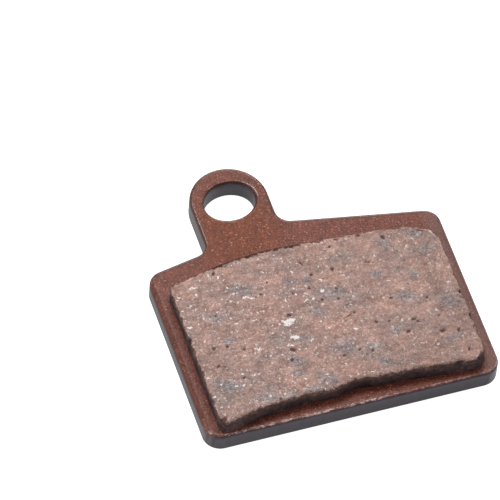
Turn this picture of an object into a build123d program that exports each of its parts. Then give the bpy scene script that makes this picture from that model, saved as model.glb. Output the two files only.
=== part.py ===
from build123d import *
from math import radians, sqrt, tan
import os

# Bicycle disc brake pad: a blanked steel backing plate with a friction block bonded to its front face.
# Millimetres. The origin is on the axis of the pin hole, in the plate's back face. +X runs along the plate's
# width, +Y from the foot of the plate to the lug, and +Z from the plate towards the rotor.

# Backing plate
plate_width = 27.5
plate_thickness = 2.0
side_height = 18.3  # foot to eave, measured where the side and the sloping top would meet
top_slope = 10.4  # degrees that the top edge falls towards each side
foot_corner_radius = 1.6
eave_corner_radius = 1.5
die_roll = 0.3  # rounding of the front edges, left by blanking
back_edge_break = 0.12

# Lug with the pin hole
pin_hole_diameter = 4.4
lug_width = 7.25
lug_offset = 4.0  # lug axis to the plate's centre line
lug_height = 24.25  # lug axis to the foot of the plate
short_side_root_radius = 1.2
long_side_root_radius = 1.4

# Friction block
friction_thickness = 1.55
friction_depth = 15.55  # between the two arcs, on the centre line
friction_side_margin = 1.18  # bare plate beside the block
friction_foot_margin = 1.42  # bare plate under the block, on the centre line
outer_arc_radius = 69.0
inner_arc_radius = 80.0
outer_corner_radius = 0.9
inner_corner_radius = 0.8
face_edge_break = 0.2  # the crumbled rim of the ground face

# Places worked out from the sizes
centre_x = lug_offset
left_x = centre_x - plate_width / 2
right_x = centre_x + plate_width / 2
foot_y = -lug_height
eave_y = foot_y + side_height
neck_x = lug_width / 2


def nearest_vertex(sketch, point):
    """The sketch's vertex that lies nearest to a point."""
    return sketch.vertices().sort_by_distance(Vector(*point))[0]


def arc_drop(radius, half_chord):
    """How far an arc falls from its crown to the ends of its chord."""
    return radius - sqrt(radius**2 - half_chord**2)


def root_radius(radius, root):
    """The radius of a lug's root, limited by the straight side between the root and the lug's round end."""
    straight = -root[1]
    return min(radius, 0.9 * straight * tan(radians(90 + top_slope) / 2))


def plate_outline():
    """The blank: a rectangle with a gabled top, a round-ended lug through the gable, and the pin hole."""
    rise = tan(radians(top_slope))
    eave_left = (left_x, eave_y)
    eave_right = (right_x, eave_y)
    root_left = (-neck_x, eave_y + rise * (-neck_x - left_x))
    root_right = (neck_x, eave_y + rise * (right_x - neck_x))
    foot_left = (left_x, foot_y)
    foot_right = (right_x, foot_y)
    with BuildSketch() as blank:
        with BuildLine():
            Polyline(
                foot_left, foot_right, eave_right, root_right, (neck_x, 0),
                (-neck_x, 0), root_left, eave_left, close=True,
            )
        make_face()
        Circle(lug_width / 2)
        for point, radius in (
            (foot_left, foot_corner_radius),
            (foot_right, foot_corner_radius),
            (eave_left, eave_corner_radius),
            (eave_right, eave_corner_radius),
            (root_left, root_radius(short_side_root_radius, root_left)),
            (root_right, root_radius(long_side_root_radius, root_right)),
        ):
            fillet(nearest_vertex(blank, point), radius)
        Circle(pin_hole_diameter / 2, mode=Mode.SUBTRACT)
    return blank.sketch


def backing_plate():
    """The blank at its thickness, rolled over along every front edge and broken along its back outline."""
    with BuildPart() as plate:
        add(plate_outline())
        extrude(amount=plate_thickness)
        fillet(plate.faces().sort_by(Axis.Z)[-1].edges(), die_roll)
        chamfer(plate.faces().sort_by(Axis.Z)[0].outer_wire().edges(), back_edge_break)
    return plate.part


def friction_outline():
    """A block between two arcs that follow the rotor's track, with straight sides and rounded corners."""
    half = plate_width / 2 - friction_side_margin
    inner_crown_y = foot_y + friction_foot_margin
    outer_crown_y = inner_crown_y + friction_depth
    outer_y = outer_crown_y - arc_drop(outer_arc_radius, half)
    inner_y = inner_crown_y - arc_drop(inner_arc_radius, half)
    outer_left = (centre_x - half, outer_y)
    outer_right = (centre_x + half, outer_y)
    inner_left = (centre_x - half, inner_y)
    inner_right = (centre_x + half, inner_y)
    with BuildSketch() as block:
        with BuildLine():
            ThreePointArc(outer_left, (centre_x, outer_crown_y), outer_right)
            Line(outer_right, inner_right)
            ThreePointArc(inner_right, (centre_x, inner_crown_y), inner_left)
            Line(inner_left, outer_left)
        make_face()
        for point, radius in (
            (outer_left, outer_corner_radius),
            (outer_right, outer_corner_radius),
            (inner_left, inner_corner_radius),
            (inner_right, inner_corner_radius),
        ):
            fillet(nearest_vertex(block, point), radius)
    return block.sketch


def friction_block():
    """The moulded compound, seated on the plate's front face, with its ground face uppermost."""
    with BuildPart() as block:
        with Locations((0, 0, plate_thickness)):
            add(friction_outline())
        extrude(amount=friction_thickness)
        fillet(block.faces().sort_by(Axis.Z)[-1].edges(), face_edge_break)
    return block.part


os.makedirs("parts", exist_ok=True)
export_step(backing_plate(), "parts/backing_plate.step")
export_step(friction_block(), "parts/friction_block.step")
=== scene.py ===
"""Looks of a bicycle disc brake pad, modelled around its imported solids.

The backing plate is a copy of its solid with the eyelet worn oval, in a bonding coat that stops just over
the edge, where the sheared steel is bare. The friction block is remodelled from its solid, with a crumbled
rim, an uneven outline and pits, in a ground compound full of metal flecks.
Run as a script: it loads the frame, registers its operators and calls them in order.
"""

import random
from math import radians, tau

import bpy
import numpy as np
from bpy.props import FloatProperty, FloatVectorProperty, IntProperty, PointerProperty
from mathutils import Matrix, Quaternion, Vector, noise
from mathutils.kdtree import KDTree


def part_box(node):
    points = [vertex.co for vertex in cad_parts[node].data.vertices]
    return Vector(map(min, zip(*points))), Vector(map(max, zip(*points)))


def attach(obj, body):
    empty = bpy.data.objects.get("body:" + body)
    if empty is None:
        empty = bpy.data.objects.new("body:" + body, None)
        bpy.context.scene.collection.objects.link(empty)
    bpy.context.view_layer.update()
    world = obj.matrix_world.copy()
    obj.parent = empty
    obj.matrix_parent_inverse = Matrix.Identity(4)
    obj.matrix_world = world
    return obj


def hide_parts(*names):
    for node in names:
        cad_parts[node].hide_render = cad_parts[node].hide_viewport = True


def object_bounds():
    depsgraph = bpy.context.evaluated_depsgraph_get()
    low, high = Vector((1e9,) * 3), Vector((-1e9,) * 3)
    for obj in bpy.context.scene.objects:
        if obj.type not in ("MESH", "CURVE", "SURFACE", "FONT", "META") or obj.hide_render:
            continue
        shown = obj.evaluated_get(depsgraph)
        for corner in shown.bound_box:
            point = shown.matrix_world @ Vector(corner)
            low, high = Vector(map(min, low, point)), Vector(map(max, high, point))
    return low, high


bl_info = {
    "name": "Disc brake pad",
    "version": (1, 0, 0),
    "blender": (4, 5, 0),
    "location": "3D View > Sidebar > Brake Pad",
    "description": "Finishes a bicycle disc brake pad around its solids",
    "category": "Object",
}

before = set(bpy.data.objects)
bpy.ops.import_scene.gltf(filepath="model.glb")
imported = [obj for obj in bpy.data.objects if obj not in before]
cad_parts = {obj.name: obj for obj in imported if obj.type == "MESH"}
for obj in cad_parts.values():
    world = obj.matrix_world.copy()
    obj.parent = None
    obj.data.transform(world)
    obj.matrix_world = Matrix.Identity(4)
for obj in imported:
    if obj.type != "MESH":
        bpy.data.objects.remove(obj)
cad_low, cad_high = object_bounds()
plate_low, plate_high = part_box("backing_plate")
block_low, block_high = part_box("friction_block")

MM = 0.001
HAIR = 0.01 * MM  # what still counts as flush
BODY = "root"

# The Mix node holds one set of sockets for each kind of value; these are the colour ones.
MIX_FACTOR, MIX_A, MIX_B = 0, 6, 7
OF_COLOURS = {"output": 2, "data_type": "RGBA"}

# Sizes of the patterns in mm. The coat's grit and the compound's dust are finer in truth, and are drawn as
# coarse as they need to be to show.
GRIT = 0.12
COAT_PATCH = 0.6
COAT_BLOTCH = 1.1
SHEAR_STREAK = 0.5
# Dashes of the pale glint that is painted on the rolled edges.
GLINT_DASH = 0.11
COMPOUND_DUST = 0.13
COMPOUND_GRAIN = 0.3
COMPOUND_PATCH = 0.9
COMPOUND_DRIFT = 2.5
SMEAR_FIBRE = 0.3
FLECK_CLUSTER = 1.6
RIM_NIBBLE = 0.45
RIM_CRUMB = 0.9
SIDE_LUMP = 0.5
MARK_EDGE = 0.3
FLOOR_GRAIN = 0.8

# Scattered flecks of cut metal fibre: their spacing, length and width in mm, the share of the places that
# are filled, and how strongly they show.
FLECKS = (
    (1.5, 0.5, 0.2, 0.4, 0.95),
    (0.8, 0.32, 0.2, 0.5, 0.7),
    (0.42, 0.26, 0.18, 0.5, 0.35),
    (0.34, 0.5, 0.11, 0.7, 0.2),
)

# Marks on the ground face. Each is an oval: its place in mm to the right of the plate's centre
# line and above the plate's foot, its length and width in mm, and its turn in degrees.
PITS = (
    (2.1, 13.5, 0.5, 0.34, 70), (0.1, 13.4, 0.34, 0.26, 0), (-0.5, 12.1, 0.3, 0.24, 20),
    (1.8, 11.4, 0.36, 0.26, -30), (0.2, 10.6, 0.3, 0.24, 0), (1.6, 10.3, 0.34, 0.24, -20),
    (-3.2, 9.8, 0.5, 0.36, 10), (-4.0, 6.2, 0.6, 0.34, -16), (-4.4, 5.2, 0.4, 0.24, 40),
    (-4.0, 13.7, 0.3, 0.2, 60), (-2.1, 12.0, 0.6, 0.14, -60), (-0.4, 14.8, 0.7, 0.14, -66),
    (2.5, 8.5, 0.3, 0.2, 20), (1.9, 8.3, 1.0, 0.12, 22), (-8.2, 7.4, 0.36, 0.24, -30),
    (0.2, 4.4, 0.34, 0.26, 0), (-4.9, 12.6, 0.4, 0.18, -40), (5.5, 16.4, 0.5, 0.36, 0),
    (7.6, 15.6, 0.5, 0.4, -50), (5.4, 13.4, 0.6, 0.16, -16), (6.2, 9.1, 0.4, 0.26, 0),
    (9.3, 8.3, 0.26, 0.22, 70), (7.4, 6.4, 0.5, 0.3, 20), (7.7, 6.1, 0.4, 0.2, -30),
    (4.1, 7.0, 0.36, 0.3, 0), (5.2, 6.8, 0.26, 0.2, 0), (6.5, 5.3, 0.5, 0.42, 0),
    (9.5, 4.5, 0.6, 0.34, 0), (1.7, 4.6, 0.3, 0.22, 0), (2.8, 4.2, 0.3, 0.24, 40),
    (10.9, 4.2, 0.44, 0.26, 60), (11.1, 2.0, 0.4, 0.24, 60), (-8.3, 15.8, 0.4, 0.26, 40),
    (-9.5, 11.5, 0.24, 0.2, 0), (-10.7, 8.2, 0.44, 0.34, 0), (-9.5, 8.1, 0.3, 0.3, 0),
    (-10.9, 6.3, 0.36, 0.3, 0), (-12.1, 1.0, 0.6, 0.4, 30), (-6.7, 1.5, 0.34, 0.26, 0),
    (-9.1, 4.5, 0.26, 0.2, 0), (3.4, 16.5, 0.5, 0.2, -5), (2.6, 15.9, 0.3, 0.2, 40),
    (9.7, 6.2, 0.24, 0.2, 0), (11.2, 15.6, 1.6, 0.22, -12),
)
CHIPS = (
    (-3.4, 9.1, 1.3, 0.72, 18), (-3.5, 7.4, 1.0, 0.58, -10), (-7.1, 7.1, 0.7, 0.28, -45),
    (-6.8, 7.0, 0.45, 0.28, 30), (0.5, 11.5, 0.5, 0.36, -10), (-6.2, 12.6, 1.5, 0.27, -22),
    (-10.5, 14.9, 0.75, 0.28, 5), (-10.5, 14.1, 0.5, 0.28, -60),
    (-12.1, 14.3, 0.45, 0.3, -40), (-7.7, 12.6, 0.55, 0.3, -35), (-11.0, 12.6, 0.4, 0.28, 40),
    (-12.1, 10.9, 0.6, 0.28, -20),
)
SMEARS = (
    (-6.2, 13.4, 2.2, 1.3, -16), (-2.1, 13.2, 1.4, 1.1, -30), (-0.5, 13.1, 1.7, 1.2, -16),
    (1.1, 11.2, 3.2, 1.3, -16), (-0.6, 9.6, 1.6, 1.2, -20), (-2.5, 6.9, 2.2, 1.1, -25),
    (0.6, 5.3, 2.8, 1.6, -20), (-4.1, 4.9, 1.8, 1.0, -30), (-2.0, 2.6, 2.4, 1.4, -10),
    (-4.3, 3.7, 1.6, 1.0, -25), (7.5, 15.0, 1.3, 1.8, 10), (10.8, 13.3, 2.2, 0.9, 0),
    (5.7, 11.9, 1.4, 1.1, -16), (9.0, 11.0, 1.0, 1.2, -16), (7.4, 8.9, 3.0, 1.1, -16),
    (11.1, 7.5, 2.2, 1.7, -10), (5.5, 5.6, 1.6, 1.2, -30), (10.1, 3.4, 1.9, 1.1, 5),
    (3.2, 4.6, 2.4, 1.1, -12), (-10.9, 4.3, 3.2, 1.3, -35), (-9.1, 8.5, 1.6, 0.9, -25),
    (-7.7, 1.9, 2.0, 1.2, -20), (-5.6, 1.7, 1.6, 1.0, -10), (3.4, 2.8, 1.8, 1.1, -30),
    (-9.6, 11.3, 2.0, 0.9, -35), (10.6, 15.1, 3.0, 1.0, -12), (-3.4, 1.9, 2.0, 0.8, 10),
)
# Broad zones where the face is darker.
DARKER_ZONES = (
    (11.8, 7.0, 4.0, 15.0, 0), (10.5, 15.6, 6.0, 2.4, -12), (7.8, 2.6, 9.0, 3.6, 5),
    (-11.5, 6.8, 2.0, 2.0, 0),
)
# Where the rim has broken away furthest.
RIM_BREAKS = (
    (12.4, 0.5, 2.8, 1.5, 35), (9.9, 0.9, 0.8, 0.4, 0), (12.5, 8.2, 0.6, 0.4, 0),
    (12.5, 5.4, 0.7, 0.4, 90), (-12.5, 9.6, 0.6, 0.3, 90), (-7.0, 1.0, 5.5, 0.4, 3),
    (7.0, 1.0, 6.0, 0.3, -4), (12.55, 3.5, 0.5, 0.3, 85),
)
# Where the far rim still shows its dark moulded skin.
# Where a dark line of painted shade runs along the far rim, at its edge against the plate.
FAR_RIM_SHADE_LINES = ((-4.2, 16.6, 11.5, 2.4, 9),)
# Where the outline has crumbled back or stands proud, each with its ways along X and Y, as shares of the
# most that the outline shifts.
OUTLINE_SHIFTS = (
    ((12.3, 15.8, 3.0, 1.8, -35), (-1, -1)), ((12.5, 0.4, 2.2, 1.6, 40), (-1, 0.6)),
    ((-2.2, 1.2, 2.4, 2.4, 0), (0, -0.5)), ((0.8, 1.4, 2.2, 2.4, 0), (0, 0.5)),
    ((-11.3, 0.7, 2.6, 2.0, 0), (0, -0.5)), ((-4.8, 16.7, 8.0, 2.2, 4), (0, 0.8)),
)
# Heights in mm above the plate's foot between which dust gathers on the right rim, from none to all.
DUSTED_HEIGHTS = (5, 11)


def linear(hex_colour):
    """An sRGB hex colour as linear red, green, blue and alpha."""
    channels = [int(hex_colour[i : i + 2], 16) / 255 for i in (0, 2, 4)]
    curved = [c / 12.92 if c <= 0.04045 else ((c + 0.055) / 1.055) ** 2.4 for c in channels]
    return (*curved, 1.0)


def colour_setting(name, description, hex_colour):
    """A colour that a user can set, with its default as sRGB hex."""
    return FloatVectorProperty(
        name=name, description=description, subtype="COLOR", size=4, default=linear(hex_colour)
    )


def length_setting(name, description, mm):
    """A length that a user can set, with its default in millimetres."""
    return FloatProperty(name=name, description=description, unit="LENGTH", default=mm * MM)


def add(tree, kind, inputs=None, output=0, **settings):
    """Add a shader node with its settings, and give one of its outputs, or the node if that is None.

    Each input is a value, or another node's socket to link.
    """
    node = tree.nodes.new("ShaderNode" + kind)
    for name, value in settings.items():
        setattr(node, name, value)
    for key, value in (inputs or {}).items():
        if isinstance(value, bpy.types.NodeSocket):
            tree.links.new(value, node.inputs[key])
        else:
            node.inputs[key].default_value = value
    return node if output is None else node.outputs[output]


def start_material(name):
    """A new material with an empty node tree, and the surface's Object coordinates in millimetres."""
    material = bpy.data.materials.new(name)
    material.use_nodes = True
    tree = material.node_tree
    tree.nodes.clear()
    place = add(tree, "TexCoord", output="Object")
    mm = add(tree, "VectorMath", {0: place, "Scale": 1 / MM}, operation="SCALE")
    return material, tree, mm


def loosened(tree, mm, size, amount):
    """Coordinates moved about by noise of that size, so that cells and marks come out ragged."""
    shake = add(tree, "TexNoise", {"Vector": mm, "Scale": 1 / size, "Detail": 2.0}, output="Color")
    centred = add(tree, "VectorMath", {0: shake, 1: (0.5, 0.5, 0.5)}, operation="SUBTRACT")
    return add(tree, "VectorMath", {0: centred, 1: (amount,) * 3, 2: mm}, operation="MULTIPLY_ADD")


def scattered_marks(tree, mm, spacing, length, width, share):
    """A mask of short marks, each turned at random, one in each cell that the share leaves filled."""
    cells = add(
        tree, "TexVoronoi", {"Vector": mm, "Scale": 1 / spacing}, output=None, voronoi_dimensions="2D"
    )
    chance = add(tree, "SeparateColor", {0: cells.outputs["Color"]}, output=None)
    offset = add(tree, "VectorMath", {0: mm, 1: cells.outputs["Position"]}, operation="SUBTRACT")
    turn = add(tree, "Math", {0: chance.outputs["Red"], 1: tau}, operation="MULTIPLY")
    turned = add(tree, "VectorRotate", {"Vector": offset, "Angle": turn}, rotation_type="Z_AXIS")
    shrunk = add(tree, "VectorMath", {0: turned, 1: (2 / length, 2 / width, 0)}, operation="MULTIPLY")
    reach = add(tree, "VectorMath", {0: shrunk}, output="Value", operation="LENGTH")
    size = add(tree, "MapRange", {"Value": chance.outputs["Blue"], "To Min": 0.5, "To Max": 1.0})
    outside = add(tree, "Math", {0: reach, 1: size}, operation="DIVIDE")
    body = add(
        tree,
        "MapRange",
        {"Value": outside, "From Min": 0.6, "From Max": 1.0, "To Min": 1.0, "To Max": 0.0},
        interpolation_type="SMOOTHSTEP",
    )
    filled = add(tree, "Math", {0: chance.outputs["Green"], 1: share}, operation="LESS_THAN")
    return add(tree, "Math", {0: body, 1: filled}, operation="MULTIPLY")


class PlateSettings(bpy.types.PropertyGroup):
    """Finish of the backing plate."""

    coat_colour: colour_setting("Coat", "Colour of the bonding coat", "864c3e")
    coat_shade: colour_setting("Coat shade", "Darker blotches of the coat", "6d3d31")
    # Pale specks, part mineral grit and part painted sparkle.
    speck_and_sparkle_colour: colour_setting("Specks", "Pale mineral specks in the coat", "c48c78")
    dust_colour: colour_setting("Dust", "Friction dust beside the block", "7c6e69")
    # Painted shade: a dark colour laid over the coat's rolled edge and in a band along the front's edges.
    edge_shade_colour: colour_setting("Coat edge", "Coat where it thins over the edge", "3a241f")
    steel_colour: colour_setting("Steel", "Sheared steel of the edges", "3c343d")
    steel_shade: colour_setting("Steel shade", "Darker streaks of the steel", "27222a")
    # Painted highlight: a pale glint painted on the rolled edges that face the foot.
    painted_glint_colour: colour_setting("Bare edge", "Steel where the coat has worn off the rolled edge", "f2d3cb")
    lug_tint: colour_setting("Lug tint", "Browner tone of the coat round the lug", "ffe6af")
    # Width of the band of painted shade along the front's edges.
    edge_band: length_setting("Edge band", "Width of the band where the coat darkens", 0.2)
    coat_lap: length_setting("Coat lap", "How far the coat laps over the edge", 0.27)
    eyelet_length: length_setting("Eyelet length", "Long axis of the oval eyelet", 4.8)
    eyelet_width: length_setting("Eyelet width", "Short axis of the oval eyelet", 4.0)
    eyelet_drop: length_setting("Eyelet drop", "How far the oval lies towards the foot", 0.1)
    eyelet_turn: FloatProperty(
        name="Eyelet turn", description="Turn of the eyelet's long axis", unit="ROTATION", default=radians(8)
    )


class FrictionSettings(bpy.types.PropertyGroup):
    """Form and finish of the friction block."""

    voxel: length_setting("Voxel", "Size of the block's mesh faces", 0.09)
    rim_depth: length_setting("Rim depth", "How deep the rim has crumbled at most", 0.4)
    rim_reach: length_setting("Rim reach", "How far in from the rim the face is crumbled", 0.75)
    wall_relief: length_setting("Wall relief", "Unevenness of the moulded sides", 0.2)
    pit_depth: length_setting("Pit depth", "Depth of the deepest pits", 0.1)
    outline_shift: length_setting("Outline shift", "How far the outline has shifted at most", 0.35)
    small_pits: IntProperty(name="Small pits", description="Small pits scattered over the face", default=30)
    seed: IntProperty(name="Seed", description="Start of the random draws", default=11)
    ground_colour: colour_setting("Compound", "Ground compound", "b28e82")
    grey_colour: colour_setting("Grey compound", "Greyer parts of the compound", "9a857f")
    red_colour: colour_setting("Red compound", "Redder parts of the compound", "a87d70")
    graphite_colour: colour_setting("Graphite", "Graphite smears", "868487")
    fleck_colour: colour_setting("Flecks", "Cut metal fibres", "f6ece8")
    broken_colour: colour_setting("Broken compound", "Pits and the upper part of the sides", "5e443d")
    moulded_colour: colour_setting("Moulded skin", "Moulded sides", "3c2929")
    # Moulded skin along the rim, and the line of painted shade along the far rim.
    rim_skin_and_shade_colour: colour_setting("Rim skin", "Moulded skin left along the rim", "44281f")


class StageSettings(bpy.types.PropertyGroup):
    """Floor, light and camera."""

    floor_colour: colour_setting("Floor", "Pale floor", "c4c4c2")
    glow_colour: colour_setting("Glow", "Light through the floor", "ffffff")
    floor_glow: FloatProperty(
        name="Floor glow", description="Light from below, through the floor", default=1.0
    )
    floor_size: length_setting("Floor size", "Side of the floor", 6000)
    overhead_power: FloatProperty(
        name="Overhead", description="Power of the overhead lamp", unit="POWER", default=3.5
    )
    glint_power: FloatProperty(
        name="Glint", description="Power of the small lamp on the foot's edge", unit="POWER", default=0.5
    )
    back_power: FloatProperty(
        name="Back", description="Power of the large panel behind", unit="POWER", default=0.9
    )
    strip_power: FloatProperty(
        name="Strip", description="Power of the low strip behind", unit="POWER", default=2.8
    )
    left_power: FloatProperty(
        name="Left", description="Power of the softbox on the left", unit="POWER", default=2.5
    )
    right_power: FloatProperty(
        name="Right", description="Power of the softbox on the right", unit="POWER", default=2.8
    )
    ambient: FloatProperty(name="Ambient", description="Strength of the even light all round", default=0.13)
    lens: FloatProperty(name="Lens", description="Focal length", unit="CAMERA", default=432.0)
    camera_distance: length_setting("Distance", "Camera to the aim", 538.8)
    camera_turn: FloatProperty(
        name="Turn", description="Camera's bearing about the pad", unit="ROTATION", default=radians(-22.72)
    )
    camera_elevation: FloatProperty(
        name="Elevation", description="Angle above the floor", unit="ROTATION", default=radians(54.67)
    )
    camera_roll: FloatProperty(
        name="Roll", description="Camera's tilt about its own axis", unit="ROTATION", default=radians(5.69)
    )
    aim: FloatVectorProperty(
        name="Aim",
        description="Point in the middle of the picture, from the pin hole's axis",
        subtype="TRANSLATION",
        default=(0.085 * MM, -5.758 * MM, plate_high.z),
    )


# Materials. Their heights and places are in mm, set off from the piece's own top, foot and sides.


def plate_places(tree, mm):
    """A point's X and height on the plate, and masks of the plate's foot and left side."""
    axes = add(tree, "SeparateXYZ", {0: mm}, output=None)
    foot = plate_low.y / MM
    left = plate_low.x / MM
    at_foot = add(
        tree, "MapRange", {"Value": axes.outputs["Y"], "From Min": foot + 2.5, "From Max": foot + 1.5}
    )
    at_left = add(
        tree, "MapRange", {"Value": axes.outputs["X"], "From Min": left + 0.7, "From Max": left + 0.35}
    )
    return axes.outputs["X"], axes.outputs["Z"], at_foot, at_left


def coat_share(tree, height, patches, at_foot, at_left, settings):
    """The coat's share: all on the front, and none below a ragged line that lies lower on the left side."""
    lap = plate_high.z / MM - settings.coat_lap / MM
    ragged = add(tree, "Math", {0: patches, 1: 0.1, 2: height}, operation="MULTIPLY_ADD")
    level = add(tree, "Math", {0: at_foot, 1: -0.17, 2: ragged}, operation="MULTIPLY_ADD")
    none = add(tree, "MapRange", {"Value": at_left, "To Min": lap + 0.02, "To Max": lap - 0.5})
    full = add(tree, "MapRange", {"Value": at_left, "To Min": lap + 0.08, "To Max": lap + 0.05})
    return add(
        tree,
        "MapRange",
        {"Value": level, "From Min": none, "From Max": full},
        interpolation_type="SMOOTHSTEP",
    )


def coat_tone(tree, mm, grit, patches, settings):
    """The coat's own colour: blotched, grained, browner round the lug and full of pale specks, part grit and
    part painted sparkle.
    """
    lug_root = (-0.5, -3.8, plate_high.z / MM)
    blotches = add(
        tree, "TexNoise", {"Vector": mm, "Scale": 1 / COAT_BLOTCH, "Detail": 6.0, "Roughness": 0.65}
    )
    uneven = add(tree, "MapRange", {"Value": blotches, "From Min": 0.3, "From Max": 0.7})
    tone = add(
        tree,
        "Mix",
        {MIX_FACTOR: uneven, MIX_A: settings.coat_shade, MIX_B: settings.coat_colour},
        **OF_COLOURS,
    )
    grain = add(
        tree, "MapRange", {"Value": grit, "From Min": 0.3, "From Max": 0.7, "To Min": 0.4, "To Max": 1.6}
    )
    from_lug = add(tree, "VectorMath", {0: mm, 1: lug_root}, output="Value", operation="DISTANCE")
    at_lug = add(tree, "MapRange", {"Value": from_lug, "From Min": 6.0, "From Max": 2.5})
    for share, tint in ((1.0, grain), (at_lug, settings.lug_tint)):
        tone = add(
            tree, "Mix", {MIX_FACTOR: share, MIX_A: tone, MIX_B: tint}, blend_type="MULTIPLY", **OF_COLOURS
        )
    # Pale specks, part grit and part painted sparkle, in clusters.
    loose = loosened(tree, mm, size=0.25, amount=0.3)
    specks = scattered_marks(tree, loose, spacing=0.26, length=0.2, width=0.14, share=0.5)
    clusters = add(
        tree,
        "MapRange",
        {"Value": patches, "From Min": 0.35, "From Max": 0.65, "To Min": 0.15, "To Max": 0.9},
    )
    speck_and_sparkle_share = add(tree, "Math", {0: specks, 1: clusters}, operation="MULTIPLY")
    return add(tree, "Mix", {MIX_FACTOR: speck_and_sparkle_share, MIX_A: tone, MIX_B: settings.speck_and_sparkle_colour}, **OF_COLOURS)


def footward_edges(tree, at_foot):
    """A mask of the rolled edges that face the foot, wider at the foot itself."""
    facing = add(tree, "TexCoord", output="Normal")
    footward = add(
        tree, "VectorMath", {0: facing, 1: (0.0, -1.0, 0.0)}, output="Value", operation="DOT_PRODUCT"
    )
    tilt = add(tree, "MapRange", {"Value": at_foot, "To Min": 0.4, "To Max": 0.2})
    return add(tree, "MapRange", {"Value": footward, "From Min": 0.05, "From Max": tilt})


def roll_shade_share(tree, height, foot_facing, at_foot, at_left):
    """How far painted shade darkens the coat over the rolled edge: less at the foot, and lower on the left
    side.
    """
    top = plate_high.z / MM
    none = add(tree, "MapRange", {"Value": foot_facing, "To Min": top - 0.002, "To Max": top - 0.03})
    full = add(tree, "MapRange", {"Value": at_left, "To Min": top - 0.06, "To Max": top - 0.18})
    most = add(tree, "MapRange", {"Value": at_foot, "To Min": 0.8, "To Max": 0.3})
    return add(tree, "MapRange", {"Value": height, "From Min": none, "From Max": full, "To Max": most})


def sheared_tone(tree, mm, height, at_left, settings):
    """The sheared steel's colour: streaked down its height, brighter near the top, and brighter on the left
    as painted light.
    """
    drawn_out = add(tree, "VectorMath", {0: mm, 1: (1.0, 1.0, 0.4)}, operation="MULTIPLY")
    streaks = add(tree, "TexNoise", {"Vector": drawn_out, "Scale": 1 / SHEAR_STREAK, "Detail": 4.0})
    burnished = add(
        tree, "MapRange", {"Value": height, "From Max": plate_high.z / MM, "To Min": -0.55, "To Max": 0.4}
    )
    # Painted light: the left side is made lighter, as if lit from the left.
    burnished_and_lit_left = add(tree, "Math", {0: at_left, 1: 0.5, 2: burnished}, operation="MULTIPLY_ADD")
    sheared = add(tree, "Math", {0: streaks, 1: burnished_and_lit_left}, operation="ADD", use_clamp=True)
    return add(
        tree,
        "Mix",
        {MIX_FACTOR: sheared, MIX_A: settings.steel_shade, MIX_B: settings.steel_colour},
        **OF_COLOURS,
    )


def painted_glint_share(tree, mm, across, height, patches, glint_edges, at_foot):
    """How far a pale glint is painted on the given edges, in dashes: most in the middle, and least on the
    right.
    """
    top = plate_high.z / MM
    side = plate_high.x / MM
    drawn_out = add(tree, "VectorMath", {0: mm, 1: (0.45, 1.0, 1.0)}, operation="MULTIPLY")
    dashes = add(tree, "TexNoise", {"Vector": drawn_out, "Scale": 1 / GLINT_DASH, "Detail": 2.0})
    uneven = add(tree, "Math", {0: patches, 1: 0.8, 2: dashes}, operation="MULTIPLY_ADD")
    off_left = add(
        tree, "MapRange", {"Value": across, "From Min": side - 18.5, "From Max": side - 15.5, "To Max": 0.04}
    )
    glint_chance = add(tree, "Math", {0: uneven, 1: off_left}, operation="ADD")
    painted_glint = add(tree, "MapRange", {"Value": glint_chance, "From Min": 0.9, "From Max": 1.08, "To Min": 0.08})
    off_right = add(
        tree,
        "MapRange",
        {"Value": across, "From Min": side - 11.5, "From Max": side - 8.5, "To Min": 1.0, "To Max": 0.3},
    )
    none = add(tree, "MapRange", {"Value": at_foot, "To Min": top - 0.03, "To Max": top - 0.16})
    full = add(tree, "MapRange", {"Value": at_foot, "To Min": top - 0.01, "To Max": top - 0.05})
    near_top = add(tree, "MapRange", {"Value": height, "From Min": none, "From Max": full})
    for limit in (off_right, glint_edges, near_top):
        painted_glint = add(tree, "Math", {0: painted_glint, 1: limit}, operation="MULTIPLY")
    return painted_glint


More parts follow.
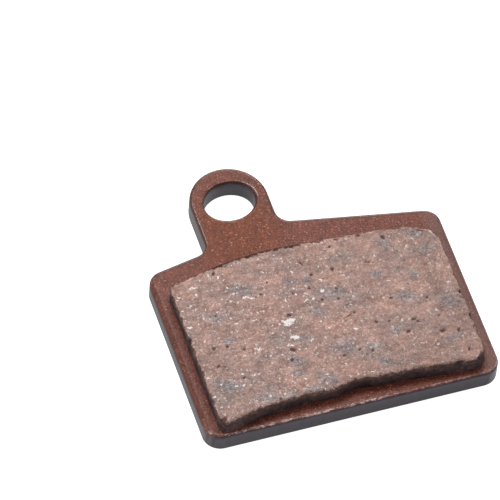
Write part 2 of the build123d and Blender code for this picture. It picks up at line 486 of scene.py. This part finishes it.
def coated_steel(settings):
    """Blanked steel with a resin bonding coat baked on its front face.

    The coat is thin, satin and full of fine mineral grit, so it looks reddish brown, with pale specks that
    are part grit and part painted sparkle. It is browner round the lug and dusty beside the block on the
    right, and painted shade darkens it over the rolled edge and in a band along its edges. It stops just
    over that edge, but laps further down the left side, where it is matt. A pale glint is painted along the
    foot and on the eyelet's far rim. The sheared steel below is bare, dark and streaked, and painted light
    makes its left side lighter.
    """
    material, tree, mm = start_material("bonding_coat_on_sheared_steel")
    side = plate_high.x / MM
    dustiest = 0.3
    across, height, at_foot, at_left = plate_places(tree, mm)
    grit = add(tree, "TexNoise", {"Vector": mm, "Scale": 1 / GRIT, "Detail": 3.0})
    patches = add(tree, "TexNoise", {"Vector": mm, "Scale": 1 / COAT_PATCH, "Detail": 3.0})
    edge = add(tree, "Attribute", output="Fac", attribute_name="edge")
    foot_facing = footward_edges(tree, at_foot)
    # Painted shade over the rolled edge, less at the foot and lower on the left side.
    roll_shade = roll_shade_share(tree, height, foot_facing, at_foot, at_left)
    dusty = add(
        tree,
        "MapRange",
        {"Value": across, "From Min": side - 1.9, "From Max": side - 0.9, "To Max": dustiest},
    )
    # A band of painted shade along the front's edges, spared on the left and at the foot.
    band_shade_spared = add(tree, "Math", {0: at_left, 1: 0.6, 2: at_foot}, operation="MULTIPLY_ADD")
    band_shade_most = add(tree, "MapRange", {"Value": band_shade_spared, "To Min": 0.4, "To Max": 0.0})
    band_shade = add(tree, "MapRange", {"Value": edge, "To Max": band_shade_most})
    painted_edge_shade = add(tree, "Math", {0: roll_shade, 1: band_shade}, operation="MAXIMUM")
    undusted = add(tree, "MapRange", {"Value": dusty, "From Max": dustiest, "To Min": 1.0, "To Max": 0.5})
    edge_shade_share = add(tree, "Math", {0: painted_edge_shade, 1: undusted}, operation="MULTIPLY")
    coat = coat_tone(tree, mm, grit, patches, settings)
    for share, over in ((dusty, settings.dust_colour), (edge_shade_share, settings.edge_shade_colour)):
        coat = add(tree, "Mix", {MIX_FACTOR: share, MIX_A: coat, MIX_B: over}, **OF_COLOURS)

    coated = coat_share(tree, height, patches, at_foot, at_left, settings)
    # Edges where a pale glint is painted as highlight: those that face the foot, and faintly the band along
    # the foot's edge.
    foot_edge = add(tree, "Math", {0: edge, 1: at_foot}, operation="MULTIPLY")
    glint_spread = add(tree, "Math", {0: foot_edge, 1: 0.2}, operation="MULTIPLY")
    glint_edges = add(tree, "Math", {0: foot_facing, 1: glint_spread}, operation="MAXIMUM")
    # Painted highlight: the pale glint, in dashes, along the foot's edge and the eyelet's far rim.
    painted_glint = painted_glint_share(tree, mm, across, height, patches, glint_edges, at_foot)
    colour = sheared_tone(tree, mm, height, at_left, settings)
    for share, over in ((coated, coat), (painted_glint, settings.painted_glint_colour)):
        colour = add(tree, "Mix", {MIX_FACTOR: share, MIX_A: colour, MIX_B: over}, **OF_COLOURS)

    metal = add(tree, "MapRange", {"Value": coated, "To Min": 0.6, "To Max": 0.0})
    edge_gloss = add(tree, "MapRange", {"Value": roll_shade, "To Min": 0.2, "To Max": 0.65})
    matt = add(tree, "MapRange", {"Value": at_left, "To Max": 0.85})
    coat_gloss = add(tree, "Math", {0: edge_gloss, 1: matt}, operation="MAXIMUM")
    gloss = add(tree, "MapRange", {"Value": coated, "To Min": 0.5, "To Max": coat_gloss})
    bump = add(tree, "Bump", {"Strength": 0.5, "Distance": 0.03 * MM, "Height": grit})
    surface = add(
        tree, "BsdfPrincipled", {"Base Color": colour, "Metallic": metal, "Roughness": gloss, "Normal": bump}
    )
    add(tree, "OutputMaterial", {"Surface": surface}, output=None)
    return material


def graphite_share(tree, feather):
    """The share of graphite, in smears that feather out."""
    smear = add(tree, "Attribute", output="Fac", attribute_name="smear")
    ragged = add(tree, "Math", {0: smear, 1: 0.6, 2: feather}, operation="MULTIPLY_ADD")
    return add(tree, "MapRange", {"Value": ragged, "From Min": 0.68, "From Max": 1.2, "To Max": 0.75})


def compound_unevenness(tree, grain, patchy, speckle, greying):
    """How much paler or darker the compound is from place to place, in grains, patches, broad darker zones
    and dust.
    """
    coarse = add(tree, "MapRange", {"Value": grain, "To Min": 0.82, "To Max": 1.18})
    mottle = add(
        tree,
        "MapRange",
        {"Value": patchy, "From Min": 0.25, "From Max": 0.75, "To Min": 0.64, "To Max": 1.36},
    )
    darker_zone = add(tree, "Attribute", output="Fac", attribute_name="darker_zone")
    zone_tone = add(tree, "MapRange", {"Value": darker_zone, "To Min": 1.03, "To Max": 0.86})
    contrast = add(tree, "MapRange", {"Value": greying, "To Min": 1.4, "To Max": 2.6})
    fine = add(tree, "Math", {0: speckle, 1: contrast, 2: 1.0}, operation="MULTIPLY_ADD")
    uneven = coarse
    for factor in (mottle, zone_tone, fine):
        uneven = add(tree, "Math", {0: uneven, 1: factor}, operation="MULTIPLY")
    return uneven


def metal_share(tree, mm, loose, across, speckle, feather):
    """The share of bared metal: placed chips, and scattered flecks in clusters, fewer towards the right."""
    side = block_high.x / MM
    chip = add(tree, "Attribute", output="Fac", attribute_name="chip")
    ragged = add(tree, "Math", {0: chip, 1: 0.6, 2: feather}, operation="MULTIPLY_ADD")
    frayed = add(tree, "Math", {0: ragged, 1: speckle}, operation="ADD")
    bared = add(
        tree,
        "MapRange",
        {"Value": frayed, "From Min": 0.86, "From Max": 1.1},
        interpolation_type="SMOOTHSTEP",
    )
    flecks = 0.0
    for spacing, length, width, share, strength in FLECKS:
        marks = scattered_marks(tree, loose, spacing, length, width, share)
        weighed = add(tree, "Math", {0: marks, 1: strength}, operation="MULTIPLY")
        flecks = add(tree, "Math", {0: flecks, 1: weighed}, operation="MAXIMUM")
    clusters = add(tree, "TexNoise", {"Vector": mm, "Scale": 1 / FLECK_CLUSTER, "Detail": 2.0})
    gathered = add(
        tree,
        "MapRange",
        {"Value": clusters, "From Min": 0.35, "From Max": 0.62, "To Min": 0.45, "To Max": 1.45},
    )
    rightward = add(
        tree,
        "MapRange",
        {"Value": across, "From Min": side - 16.0, "From Max": side - 6.0, "To Min": 1.1, "To Max": 0.55},
    )
    flecks = add(tree, "Math", {0: flecks, 1: gathered}, operation="MULTIPLY")
    flecks = add(tree, "Math", {0: flecks, 1: rightward}, operation="MULTIPLY", use_clamp=True)
    return add(tree, "Math", {0: flecks, 1: bared}, operation="MAXIMUM")


def rim_skin_and_shade_share(tree, mm, speckle, patchy, dusted):
    """The share of dark skin along the nibbled rim, and of painted shade in a line along the far rim; least
    where dust hides it.
    """
    rim = add(tree, "Attribute", output="Fac", attribute_name="near_rim")
    nibbles = add(tree, "TexNoise", {"Vector": mm, "Scale": 1 / RIM_NIBBLE, "Detail": 3.0})
    nibbled = add(tree, "MapRange", {"Value": nibbles, "To Min": -0.6, "To Max": 0.6})
    # The line of painted shade along the far rim.
    far_rim_shade = add(tree, "Attribute", output="Fac", attribute_name="far_rim_shade")
    far_rim_shade_amount = add(
        tree, "MapRange", {"Value": patchy, "From Min": 0.35, "From Max": 0.6, "To Min": 0.2, "To Max": 0.42}
    )
    skin = add(tree, "Math", {0: rim, 1: nibbled}, operation="ADD")
    for share, amount in ((speckle, 0.8), (far_rim_shade, far_rim_shade_amount), (dusted, -0.45)):
        skin = add(tree, "Math", {0: share, 1: amount, 2: skin}, operation="MULTIPLY_ADD")
    return add(tree, "MapRange", {"Value": skin, "From Min": 0.8, "From Max": 1.02})


def moulded_tone(tree, height, uneven, settings):
    """The sides' colour: broken at the top, dark skin below, and paler where it meets the plate, as painted
    light against the shade there.
    """
    top = block_high.z / MM
    seat = block_low.z / MM
    deep = add(tree, "MapRange", {"Value": height, "From Min": top - 0.15, "From Max": top - 0.5})
    skin = add(
        tree,
        "Mix",
        {MIX_FACTOR: deep, MIX_A: settings.broken_colour, MIX_B: settings.moulded_colour},
        **OF_COLOURS,
    )
    rougher = add(tree, "Math", {0: uneven, 1: 2.0}, operation="POWER")
    # Painted light: the sides are made paler at their foot, lifting the shade where they meet the plate.
    painted_base_light = add(
        tree,
        "MapRange",
        {"Value": height, "From Min": seat, "From Max": seat + 0.3, "To Min": 3.0, "To Max": 1.0},
    )
    shade = add(tree, "Math", {0: rougher, 1: painted_base_light}, operation="MULTIPLY")
    return add(
        tree, "Mix", {MIX_FACTOR: 1.0, MIX_A: skin, MIX_B: shade}, blend_type="MULTIPLY", **OF_COLOURS
    )


def friction_compound(settings):
    """Resin-bonded friction compound, moulded and then ground flat.

    Grinding cuts through metal fibres, graphite and pores, so the face is matt pinkish brown with pale
    flecks, grey smears and dark pits. What the wheel didn't reach, the sides, pits and broken rim, stays
    dark. The rim is nibbled and dusted over on the right, and a dark line of painted shade runs along the
    far side.
    """
    material, tree, mm = start_material("ground_friction_compound")
    top = block_high.z / MM
    axes = add(tree, "SeparateXYZ", {0: mm}, output=None)
    height = axes.outputs["Z"]
    dusted = add(tree, "Attribute", output="Fac", attribute_name="dusted")
    loose = loosened(tree, mm, size=0.22, amount=0.3)
    cells = add(tree, "TexVoronoi", {"Vector": loose, "Scale": 1 / COMPOUND_GRAIN}, output="Color")
    grain = add(tree, "SeparateColor", {0: cells}, output=None)
    dust = add(tree, "TexNoise", {"Vector": mm, "Scale": 1 / COMPOUND_DUST, "Detail": 2.0, "Roughness": 0.6})
    speckle = add(tree, "Math", {0: dust, 1: 0.5}, operation="SUBTRACT")
    drawn_out = add(tree, "VectorMath", {0: mm, 1: (0.6, 1.0, 1.0)}, operation="MULTIPLY")
    drift = add(
        tree,
        "TexNoise",
        {"Vector": drawn_out, "Scale": 1 / COMPOUND_DRIFT, "Detail": 6.0, "Roughness": 0.65},
    )
    patchy = add(
        tree, "TexNoise", {"Vector": drawn_out, "Scale": 1 / COMPOUND_PATCH, "Detail": 3.0, "Roughness": 0.7}
    )
    turned = add(tree, "VectorRotate", {"Vector": loose, "Angle": radians(20)}, rotation_type="Z_AXIS")
    fibres = add(tree, "VectorMath", {0: turned, 1: (0.3, 1.0, 1.0)}, operation="MULTIPLY")
    feather = add(
        tree, "TexNoise", {"Vector": fibres, "Scale": 1 / SMEAR_FIBRE, "Detail": 3.0, "Roughness": 0.7}
    )

    greyer = add(tree, "MapRange", {"Value": drift, "From Min": 0.38, "From Max": 0.66})
    redder = add(
        tree,
        "MapRange",
        {"Value": grain.outputs["Green"], "From Min": 0.7, "From Max": 0.95, "To Max": 0.45},
    )
    greying = graphite_share(tree, feather)
    face = settings.ground_colour
    for share, over in (
        (greyer, settings.grey_colour),
        (redder, settings.red_colour),
        (greying, settings.graphite_colour),
    ):
        face = add(tree, "Mix", {MIX_FACTOR: share, MIX_A: face, MIX_B: over}, **OF_COLOURS)
    uneven = compound_unevenness(tree, grain.outputs["Red"], patchy, speckle, greying)
    beside = add(tree, "VectorMath", {0: loose, 1: (7.3, 3.1, 0.0)}, operation="ADD")
    dark_fibres = scattered_marks(tree, beside, spacing=0.36, length=0.5, width=0.12, share=0.6)
    fibred = add(tree, "MapRange", {"Value": dark_fibres, "To Min": 1.0, "To Max": 0.84})
    shade = add(tree, "Math", {0: uneven, 1: fibred}, operation="MULTIPLY")
    face = add(
        tree, "Mix", {MIX_FACTOR: 1.0, MIX_A: face, MIX_B: shade}, blend_type="MULTIPLY", **OF_COLOURS
    )

    flecks = metal_share(tree, mm, loose, axes.outputs["X"], speckle, feather)
    pit = add(tree, "Attribute", output="Fac", attribute_name="pit")
    sunk = add(tree, "Math", {0: speckle, 1: 0.8, 2: pit}, operation="MULTIPLY_ADD")
    hollow = add(tree, "MapRange", {"Value": sunk, "From Min": 0.2, "From Max": 0.9, "To Max": 0.95})
    rim_skin_and_shade = rim_skin_and_shade_share(tree, mm, speckle, patchy, dusted)
    for share, over in (
        (flecks, settings.fleck_colour),
        (hollow, settings.broken_colour),
        (rim_skin_and_shade, settings.rim_skin_and_shade_colour),
    ):
        face = add(tree, "Mix", {MIX_FACTOR: share, MIX_A: face, MIX_B: over}, **OF_COLOURS)

    frayed = add(tree, "Math", {0: speckle, 1: 0.4, 2: height}, operation="MULTIPLY_ADD")
    level = add(tree, "Math", {0: dusted, 1: 0.2, 2: frayed}, operation="MULTIPLY_ADD")
    ground = add(
        tree,
        "MapRange",
        {"Value": level, "From Min": top - 0.2, "From Max": top - 0.06},
        interpolation_type="SMOOTHSTEP",
    )
    sides = moulded_tone(tree, height, uneven, settings)
    colour = add(tree, "Mix", {MIX_FACTOR: ground, MIX_A: sides, MIX_B: face}, **OF_COLOURS)
    polish = add(tree, "MapRange", {"Value": flecks, "To Min": 0.85, "To Max": 0.45})
    bump = add(tree, "Bump", {"Strength": 0.4, "Distance": 0.03 * MM, "Height": dust})
    surface = add(
        tree,
        "BsdfPrincipled",
        {"Base Color": colour, "Roughness": polish, "Specular IOR Level": 0.3, "Normal": bump},
    )
    add(tree, "OutputMaterial", {"Surface": surface}, output=None)
    return material


def pale_floor(settings):
    """Opal acrylic of a light table: matt, nearly white and lit from below, so that shadows stay faint."""
    material, tree, mm = start_material("opal_light_table")
    grain = add(tree, "TexNoise", {"Vector": mm, "Scale": 1 / FLOOR_GRAIN, "Detail": 3.0})
    bump = add(tree, "Bump", {"Strength": 0.05, "Distance": 0.02 * MM, "Height": grain})
    surface = add(
        tree,
        "BsdfPrincipled",
        {
            "Base Color": settings.floor_colour,
            "Roughness": 0.9,
            "Specular IOR Level": 0.1,
            "Emission Color": settings.glow_colour,
            "Emission Strength": settings.floor_glow,
            "Normal": bump,
        },
    )
    add(tree, "OutputMaterial", {"Surface": surface}, output=None)
    return material


def make_active(thing):
    """Select one object alone and make it the active one."""
    bpy.ops.object.select_all(action="DESELECT")
    thing.select_set(True)
    bpy.context.view_layer.objects.active = thing


def apply_modifier(thing, name, kind, **settings):
    """Add a modifier with its settings and apply it."""
    modifier = thing.modifiers.new(name, kind)
    for key, value in settings.items():
        setattr(modifier, key, value)
    bpy.ops.object.modifier_apply(modifier=modifier.name)


def copy_of_solid(node, name):
    """A copy of a node's solid, its points merged, as the active object."""
    copy = bpy.data.objects.new(name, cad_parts[node].data.copy())
    bpy.context.collection.objects.link(copy)
    make_active(copy)
    bpy.ops.object.mode_set(mode="EDIT")
    bpy.ops.mesh.select_all(action="SELECT")
    bpy.ops.mesh.remove_doubles(threshold=0.001 * MM)
    bpy.ops.object.mode_set(mode="OBJECT")
    return copy


def dress(piece, node, material):
    """Give a piece its material and put it in the place of a node's solid."""
    piece.data.materials.clear()
    piece.data.materials.append(material)
    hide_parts(node)
    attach(piece, BODY)


def mesh_points(mesh):
    """The mesh's points and their normals, as arrays."""
    points = np.empty(len(mesh.vertices) * 3)
    normals = np.empty(len(mesh.vertices) * 3)
    mesh.vertices.foreach_get("co", points)
    mesh.vertices.foreach_get("normal", normals)
    return points.reshape(-1, 3), normals.reshape(-1, 3)


def move_points(mesh, points):
    """Put the mesh's points where the array says."""
    mesh.vertices.foreach_set("co", points.ravel())
    mesh.update()


def paint(mesh, name, values):
    """A new attribute with one value for each point."""
    attribute = mesh.attributes.new(name, "FLOAT", "POINT")
    attribute.data.foreach_set("value", values.astype(np.float32))


def painted(mesh, name):
    """The values of an attribute that was painted, as an array."""
    values = np.empty(len(mesh.vertices), np.float32)
    mesh.attributes[name].data.foreach_get("value", values)
    return values


def group_weights(thing, name, weights):
    """A new vertex group with these weights."""
    group = thing.vertex_groups.new(name=name)
    for index in np.flatnonzero(weights > 0.001):
        group.add([int(index)], float(weights[index]), "REPLACE")


def push(thing, name, axis, distance, group):
    """Move a vertex group along an axis, on a piece that is being worked in millimetres."""
    apply_modifier(
        thing, name, "DISPLACE", direction=axis, strength=distance / MM, mid_level=0.0, vertex_group=group
    )


def clouds(name, size):
    """A cloud texture of that size, for a Displace modifier."""
    texture = bpy.data.textures.new(name, "CLOUDS")
    texture.noise_scale = size
    texture.noise_depth = 4
    return texture


def turned_axes(turn):
    """Directions along and across an oval that is turned by an angle."""
    along = np.array((np.cos(turn), np.sin(turn)))
    return along, np.array((-along[1], along[0]))


def on_pad(x, y):
    """A place given from the plate's centre line and foot, in the part's own millimetres."""
    return x + (plate_low.x + plate_high.x) / 2 / MM, y + plate_low.y / MM


def cover(points, marks, soft):
    """How far each point lies inside any of the oval marks: 1 within, 0 without, soft between."""
    most = np.zeros(len(points))
    for x, y, length, width, turn in marks:
        along, across = turned_axes(radians(turn))
        offset = points[:, :2] - on_pad(x, y)
        reach = np.hypot(offset @ along * 2 / length, offset @ across * 2 / width)
        most = np.maximum(most, np.clip((1 + soft / 2 - reach) / soft, 0, 1))
    return most


def shaken(points, size, amount):
    """The points moved about by noise, so that marks laid over them come out ragged."""
    return points + amount * np.array([noise.noise_vector(Vector(point) / size) for point in points])


class BRAKEPAD_OT_backing_plate(bpy.types.Operator):
    """Wear the backing plate's eyelet oval, coat its front and bare its sheared edges."""

    bl_idname = "brake_pad.backing_plate"
    bl_label = "Backing Plate"

    def execute(self, context):
        settings = context.scene.brake_pad_plate
        plate = copy_of_solid("backing_plate", "coated_backing_plate")
        self.wear_eyelet(plate, settings)
        self.mark_edges(plate, settings)
        bpy.ops.object.shade_smooth_by_angle(angle=radians(50))
        apply_modifier(plate, "Flat faces", "WEIGHTED_NORMAL", keep_sharp=True)
        dress(plate, "backing_plate", coated_steel(settings))
        return {"FINISHED"}

    def wear_eyelet(self, plate, settings):
        """Stretch the round pin hole, its rolled rim included, into the oval that the pin has worn."""
        points, _ = mesh_points(plate.data)
        from_axis = np.hypot(points[:, 0], points[:, 1])
        bore = from_axis.min()
        rim = from_axis < 1.2 * bore
        along, across = turned_axes(settings.eyelet_turn)
        flat = points[rim, :2]
        stretch = settings.eyelet_length / 2 / bore
        squeeze = settings.eyelet_width / 2 / bore
        points[rim, :2] = np.outer(flat @ along * stretch, along) + np.outer(flat @ across * squeeze, across)
        points[rim, 1] -= settings.eyelet_drop
        move_points(plate.data, points)

    def mark_edges(self, plate, settings):
        """Inset a band round the front face and mark its outer edge, apart from the eyelet's."""
        bpy.ops.object.mode_set(mode="EDIT")
        bpy.ops.mesh.select_all(action="DESELECT")
        bpy.ops.object.mode_set(mode="OBJECT")
        for face in plate.data.polygons:
            face.select = face.normal.z > 0.999 and face.center.z > plate_high.z - HAIR
        bpy.ops.object.mode_set(mode="EDIT")
        bpy.ops.mesh.inset(thickness=settings.edge_band, depth=0.0)
        bpy.ops.object.mode_set(mode="OBJECT")
        inside = np.empty(len(plate.data.vertices), bool)
        plate.data.vertices.foreach_get("select", inside)
        points, _ = mesh_points(plate.data)
        near_eyelet = np.hypot(points[:, 0], points[:, 1]) < 0.7 * settings.eyelet_length
        paint(plate.data, "edge", np.where(inside | near_eyelet, 0.0, 1.0))


class BRAKEPAD_OT_friction_block(bpy.types.Operator):
    """Model the friction block with its crumbled rim, uneven outline and pits."""

    bl_idname = "brake_pad.friction_block"
    bl_label = "Friction Block"

    def execute(self, context):
        settings = context.scene.brake_pad_friction
        block = copy_of_solid("friction_block", "ground_friction_block")
        # Noise that moves points starts from the clock unless it is seeded.
        noise.seed_set(settings.seed)
        # The block is worked in millimetres, because the remesher takes no voxel under 0.0001.
        block.scale = (1 / MM,) * 3
        bpy.ops.object.transform_apply(location=False, rotation=False, scale=True)
        self.make_even_mesh(block, settings)
        self.paint_marks(block, settings)
        self.crumble(block, settings)
        block.scale = (MM,) * 3
        bpy.ops.object.transform_apply(location=False, rotation=False, scale=True)
        bpy.ops.object.shade_smooth_by_angle(angle=radians(55))
        dress(block, "friction_block", friction_compound(settings))
        return {"FINISHED"}

    def make_even_mesh(self, block, settings):
        """Small even faces all over, apart from the underside, which is one flat face on the plate."""
        voxel = settings.voxel / MM
        seat = block_low.z / MM
        apply_modifier(block, "Even faces", "REMESH", mode="VOXEL", voxel_size=voxel, use_smooth_shade=True)
        bpy.ops.object.mode_set(mode="EDIT")
        bpy.ops.mesh.select_all(action="SELECT")
        bpy.ops.mesh.bisect(
            plane_co=(0, 0, seat + voxel), plane_no=(0, 0, 1), clear_inner=True, use_fill=True
        )
        bpy.ops.object.mode_set(mode="OBJECT")
        points, _ = mesh_points(block.data)
        points[points[:, 2] < seat + 1.01 * voxel, 2] = seat
        move_points(block.data, points)

    def paint_marks(self, block, settings):
        """Attributes for the pits, chips, smears and darker zones, and for the rim, its dust and the line of
        painted shade along its far side.
        """
        points, normals = mesh_points(block.data)
        draw = random.Random(settings.seed)
        half_width = (block_high.x - block_low.x) / 2 / MM
        depth = (block_high.y - block_low.y) / MM
        small_pits = [
            (
                draw.uniform(-half_width, half_width),
                draw.uniform(1, depth),
                draw.uniform(0.2, 0.32),
                draw.uniform(0.14, 0.22),
                draw.uniform(0, 180),
            )
            for _ in range(settings.small_pits)
        ]
        ragged = shaken(points, MARK_EDGE, amount=0.1)
        nearness, rightward = self.nearness_to_rim(points, normals, settings)
        above_foot = points[:, 1] - plate_low.y / MM
        for name, values in (
            ("pit", np.maximum(cover(ragged, PITS, 0.8), 0.6 * cover(ragged, small_pits, 0.8))),
            ("chip", cover(ragged, CHIPS, 0.6)),
            ("smear", cover(ragged, SMEARS, 1.4)),
            ("darker_zone", cover(ragged, DARKER_ZONES, 1.6)),
            ("near_rim", nearness),
            ("dusted", np.clip(rightward, 0, 1) * np.interp(above_foot, DUSTED_HEIGHTS, (0, 1))),
            ("far_rim_shade", cover(ragged, FAR_RIM_SHADE_LINES, 0.6)),
        ):
            paint(block.data, name, values)

    def nearness_to_rim(self, points, normals, settings):
        """Nearness to the outline, from 1 on it to 0 at the rim's reach, and how far right that faces."""
        below_rim = block_high.z / MM - 0.35
        wall = np.flatnonzero(np.abs(points[:, 2] - below_rim) < 0.1)
        tree = KDTree(len(wall))
        for index in wall:
            tree.insert((*points[index, :2], 0), index)
        tree.balance()
        found = [tree.find((x, y, 0))[1:] for x, y, _ in points]
        nearest, gaps = (np.array(column) for column in zip(*found))
        to_right, to_back, _ = normals[nearest].T
        reach = settings.rim_reach / MM * np.maximum(0.6, np.maximum(to_right, np.abs(to_back)))
        return np.clip(1 - gaps / reach, 0, 1), to_right

    def crumble(self, block, settings):
        """Break the rim, roughen the sides, sink the pits and shift the outline, then flatten the face."""
        top = block_high.z / MM
        points, normals = mesh_points(block.data)
        ragged = shaken(points, MARK_EDGE, amount=0.1)
        above_seat = points[:, 2] - block_low.z / MM
        sides = (1 - np.clip(normals[:, 2] * 2, 0, 1)) * np.clip(above_seat / 0.4, 0, 1)
        rough = np.array([noise.fractal(Vector(point) / RIM_CRUMB, 0.8, 2.0, 4) for point in points])
        eroded = np.clip(painted(block.data, "near_rim") - 0.55 + 0.5 * rough, 0, 1)
        # Less crumbling under the line of painted shade on the far rim.
        eroded *= 1 - 0.8 * painted(block.data, "far_rim_shade")
        broken = np.maximum(eroded, cover(ragged, RIM_BREAKS, 1.2))
        group_weights(block, "broken_rim", broken * np.clip((above_seat - 0.6) / 0.6, 0, 1))
        group_weights(block, "sides", sides)
        group_weights(block, "pits", painted(block.data, "pit") * (points[:, 2] > top - 0.2))
        push(block, "Crumbled rim", "Z", -settings.rim_depth, "broken_rim")
        apply_modifier(
            block, "Uneven sides", "DISPLACE", texture=clouds("side_relief", SIDE_LUMP),
            texture_coords="LOCAL", strength=settings.wall_relief / MM, mid_level=0.6, vertex_group="sides",
        )
        push(block, "Pits", "Z", -settings.pit_depth, "pits")
        for index, (mark, ways) in enumerate(OUTLINE_SHIFTS):
            group = f"outline_{index}"
            group_weights(block, group, cover(ragged, (mark,), 1.0))
            for axis, way in zip("XY", ways):
                if way:
                    push(block, "Uneven outline", axis, way * settings.outline_shift, group)
        points, _ = mesh_points(block.data)
        points[:, 2] = np.minimum(points[:, 2], top)
        move_points(block.data, points)


class BRAKEPAD_OT_stage(bpy.types.Operator):
    """Lay the floor and set the lights and the camera."""

    bl_idname = "brake_pad.stage"
    bl_label = "Stage"

    def execute(self, context):
        settings = context.scene.brake_pad_stage
        self.lay_floor(settings)
        self.light(context, settings)
        self.set_camera(context, settings)
        context.scene.view_settings.view_transform = "Standard"
        return {"FINISHED"}

    def lay_floor(self, settings):
        """A large light table, a hair below the pad."""
        bpy.ops.object.select_all(action="DESELECT")
        bpy.ops.mesh.primitive_plane_add(size=settings.floor_size, location=(0, 0, cad_low.z - HAIR))
        floor = bpy.context.object
        floor.name = "floor"
        floor.data.materials.append(pale_floor(settings))

    def light(self, context, settings):
        """Area lamps that face the pad, with places and sizes in metres, and an even light all round."""
        middle = (cad_low + cad_high) / 2
        for name, place, size, power in (
            ("overhead_lamp", (-0.12, 0.38, 0.82), 0.25, settings.overhead_power),
            ("glint_lamp", (0.2, -0.117, 0.87), 0.1, settings.glint_power),
            ("back_panel", (0.22, 0.53, 0.82), 0.7, settings.back_power),
            ("back_strip", (0.3, 0.83, 0.5), 0.4, settings.strip_power),
            ("left_softbox", (-0.9, 0.05, 0.4), 0.5, settings.left_power),
            ("right_softbox", (0.9, 0.15, 0.4), 0.5, settings.right_power),
        ):
            lamp = bpy.data.lights.new(name, "AREA")
            lamp.energy = power
            lamp.size = size
            holder = bpy.data.objects.new(name, lamp)
            context.collection.objects.link(holder)
            holder.location = middle + Vector(place)
            holder.rotation_euler = (-Vector(place)).to_track_quat("-Z", "Y").to_euler()
        world = bpy.data.worlds.new("studio")
        context.scene.world = world
        world.use_nodes = True
        backdrop = world.node_tree.nodes["Background"]
        backdrop.inputs["Color"].default_value = (1.0, 1.0, 1.0, 1.0)
        backdrop.inputs["Strength"].default_value = settings.ambient

    def set_camera(self, context, settings):
        """A long lens that looks down at the aim from in front of the foot."""
        lens = bpy.data.cameras.new("camera")
        lens.lens = settings.lens
        lens.clip_start = 0.05
        lens.clip_end = 10.0
        camera = bpy.data.objects.new("camera", lens)
        context.collection.objects.link(camera)
        swing = Quaternion((0, 0, 1), settings.camera_turn)
        tip = Quaternion((1, 0, 0), radians(90) - settings.camera_elevation)
        roll = Quaternion((0, 0, 1), settings.camera_roll)
        facing = swing @ tip @ roll
        place = Vector(settings.aim) + facing @ Vector((0, 0, settings.camera_distance))
        camera.matrix_world = Matrix.LocRotScale(place, facing, None)
        context.scene.camera = camera


class BRAKEPAD_PT_sidebar(bpy.types.Panel):
    """The pad's pieces and its stage."""

    bl_idname = "BRAKEPAD_PT_sidebar"
    bl_label = "Disc Brake Pad"
    bl_space_type = "VIEW_3D"
    bl_region_type = "UI"
    bl_category = "Brake Pad"

    def draw(self, context):
        for group, operator in (
            (context.scene.brake_pad_plate, BRAKEPAD_OT_backing_plate),
            (context.scene.brake_pad_friction, BRAKEPAD_OT_friction_block),
            (context.scene.brake_pad_stage, BRAKEPAD_OT_stage),
        ):
            box = self.layout.box()
            for name in group.__annotations__:
                box.prop(group, name)
            box.operator(operator.bl_idname)


CLASSES = (
    PlateSettings,
    FrictionSettings,
    StageSettings,
    BRAKEPAD_OT_backing_plate,
    BRAKEPAD_OT_friction_block,
    BRAKEPAD_OT_stage,
    BRAKEPAD_PT_sidebar,
)


def register():
    for kind in CLASSES:
        bpy.utils.register_class(kind)
    bpy.types.Scene.brake_pad_plate = PointerProperty(type=PlateSettings)
    bpy.types.Scene.brake_pad_friction = PointerProperty(type=FrictionSettings)
    bpy.types.Scene.brake_pad_stage = PointerProperty(type=StageSettings)


def unregister():
    del bpy.types.Scene.brake_pad_stage
    del bpy.types.Scene.brake_pad_friction
    del bpy.types.Scene.brake_pad_plate
    for kind in reversed(CLASSES):
        bpy.utils.unregister_class(kind)


def main():
    register()
    bpy.ops.brake_pad.backing_plate()
    bpy.ops.brake_pad.friction_block()
    bpy.ops.brake_pad.stage()


if __name__ == "__main__":
    main()
